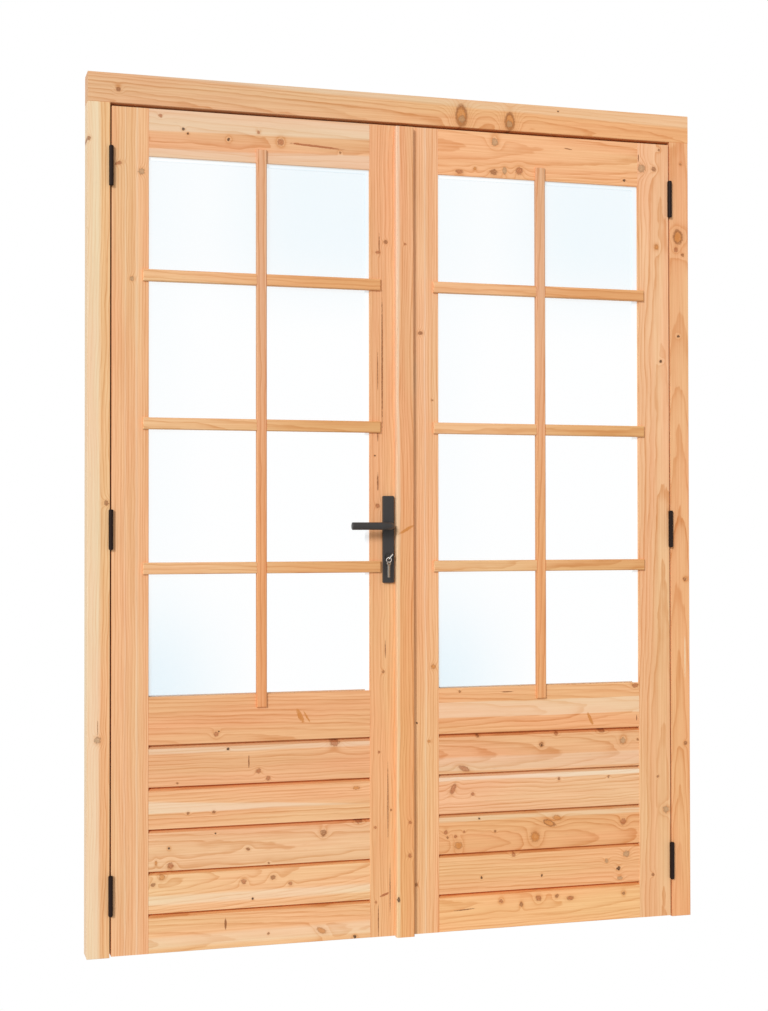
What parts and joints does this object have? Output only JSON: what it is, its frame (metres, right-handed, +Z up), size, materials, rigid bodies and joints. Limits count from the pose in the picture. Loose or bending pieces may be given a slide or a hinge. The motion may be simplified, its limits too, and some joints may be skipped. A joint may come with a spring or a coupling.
{
  "type": "french doors",
  "caption": "Glazed timber french doors in a plain frame: leaves with glazing bars over boarded lower panels, a cover strip, side hinges and a keyed lever lock.",
  "frame": {"origin": "on the floor, under the middle of the pair and of the leaves' thickness", "axes": "+Z up, +X along the width to the right as seen from the handle side with the cover strip, +Y from that front to the back"},
  "size_m": [1.5, 0.148, 2.012],
  "materials": {
    "timber": "planed, untreated",
    "glass": "clear",
    "seal": "matt",
    "black_steel": "matt black",
    "lock_steel": "zinc plated",
    "nickel": "nickel plated"
  },
  "bodies": {
    "frame": {"frame_head": "timber", "left_jamb": "timber", "right_jamb": "timber", "frame_seals": "seal", "left_hinge_jamb_leaves": "black_steel", "right_hinge_jamb_leaves": "black_steel", "left_hinge_pins": "black_steel", "right_hinge_pins": "black_steel"},
    "left_leaf": {"left_hinge_stile": "timber", "left_lock_stile": "timber", "left_top_rail": "timber", "left_mid_rail": "timber", "left_bottom_rail": "timber", "left_board_1": "timber", "left_board_2": "timber", "left_board_3": "timber", "left_board_4": "timber", "left_glass": "glass", "left_glazing_beads": "timber", "left_upright_bar": "timber", "left_cross_bar_1": "timber", "left_cross_bar_2": "timber", "left_cross_bar_3": "timber", "cover_strip": "timber", "left_hinge_door_leaves": "black_steel", "lock_case": "lock_steel", "front_backplate": "black_steel", "rear_backplate": "black_steel", "lock_cylinder": "nickel"},
    "right_leaf": {"right_hinge_stile": "timber", "right_meeting_stile": "timber", "right_top_rail": "timber", "right_mid_rail": "timber", "right_bottom_rail": "timber", "right_board_1": "timber", "right_board_2": "timber", "right_board_3": "timber", "right_board_4": "timber", "right_glass": "glass", "right_glazing_beads": "timber", "right_upright_bar": "timber", "right_cross_bar_1": "timber", "right_cross_bar_2": "timber", "right_cross_bar_3": "timber", "right_hinge_door_leaves": "black_steel", "strike_plate": "lock_steel", "flush_bolt_plates": "lock_steel"},
    "handle": {"front_lever": "black_steel", "rear_knob": "black_steel", "spindle": "lock_steel", "lock_follower": "lock_steel"},
    "latch": {"latch_bolt": "lock_steel"},
    "bolt": {"dead_bolt": "lock_steel"},
    "key_set": {"cylinder_plug": "nickel", "key": "nickel", "key_ring": "nickel", "spare_key": "nickel"},
    "top_bolt": {"top_bolt_rod": "lock_steel"},
    "bottom_bolt": {"bottom_bolt_rod": "lock_steel"}
  },
  "joints": [
    {"name": "left_leaf_swing", "type": "hinge", "parent": "frame", "child": "left_leaf", "pos_m": [-0.69725, -0.0256, 0.9695], "axis": [0, 0, -1], "range_deg": [0, 170]},
    {"name": "right_leaf_swing", "type": "hinge", "parent": "frame", "child": "right_leaf", "pos_m": [0.69725, -0.0256, 0.9695], "axis": [0, 0, 1], "range_deg": [0, 170]},
    {"name": "lever_turn", "type": "hinge", "parent": "left_leaf", "child": "handle", "pos_m": [-0.0415, 0, 0.977], "axis": [0, -1, 0], "range_deg": [0, 40], "stiffness_Nm_per_rad": 1.5, "springref_deg": -28.65},
    {"name": "latch_slide", "type": "slide", "parent": "left_leaf", "child": "latch", "axis": [-1, 0, 0], "range_m": [0, 0.011]},
    {"name": "key_turn", "type": "hinge", "parent": "left_leaf", "child": "key_set", "pos_m": [-0.0415, 0, 0.905], "axis": [0, 1, 0], "range_deg": [-40, 320]},
    {"name": "dead_bolt_slide", "type": "slide", "parent": "left_leaf", "child": "bolt", "axis": [1, 0, 0], "range_m": [-0.00223, 0.01779]},
    {"name": "top_bolt_slide", "type": "slide", "parent": "right_leaf", "child": "top_bolt", "axis": [0, 0, 1], "range_m": [0, 0.018]},
    {"name": "bottom_bolt_slide", "type": "slide", "parent": "right_leaf", "child": "bottom_bolt", "axis": [0, 0, -1], "range_m": [0, 0.018]}
  ],
  "couplings": [
    {"joint": "latch_slide", "follows": "lever_turn", "m_per_rad": 0.015756},
    {"joint": "dead_bolt_slide", "follows": "key_turn", "m_per_rad": 0.0031831}
  ]
}
